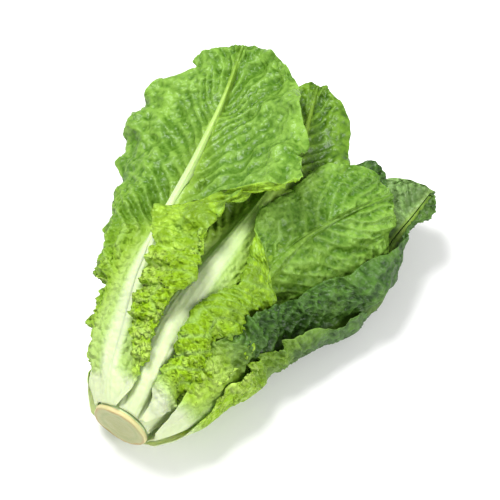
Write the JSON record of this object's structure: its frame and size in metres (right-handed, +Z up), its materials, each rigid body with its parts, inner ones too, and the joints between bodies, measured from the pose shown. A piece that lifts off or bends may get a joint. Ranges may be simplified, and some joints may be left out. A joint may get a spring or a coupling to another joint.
{
  "type": "romaine lettuce head",
  "caption": "Cut romaine lettuce head lying on its side: long ribbed leaves with ruffled margins fan from a pale stem with a flat cut face",
  "frame": {"origin": "bottom centre of the bounding box, on the surface the head lies on", "axes": "+Y from the cut face of the stem to the leaf tips, +Z up, +X to the right seen from the stem end"},
  "size_m": [0.2278, 0.2822, 0.1273],
  "materials": {
    "stem": "satin",
    "leaf_heart": "satin",
    "leaf_light": "satin",
    "leaf_dark": "satin",
    "leaf_middle": "satin"
  },
  "bodies": {
    "root": {"stem": "stem", "leaf_heart_top": "leaf_heart", "leaf_heart_low": "leaf_heart", "leaf_inner_left": "leaf_light", "leaf_inner_right": "leaf_light", "leaf_inner_low": "leaf_light", "leaf_behind_right": "leaf_dark", "leaf_front_middle": "leaf_middle", "leaf_outer_left": "leaf_middle", "leaf_front_right": "leaf_light", "leaf_front_left": "leaf_light", "leaf_outer_right": "leaf_dark", "leaf_under_right": "leaf_dark", "leaf_under_left": "leaf_middle", "leaf_under_middle": "leaf_middle"}
  },
  "joints": []
}
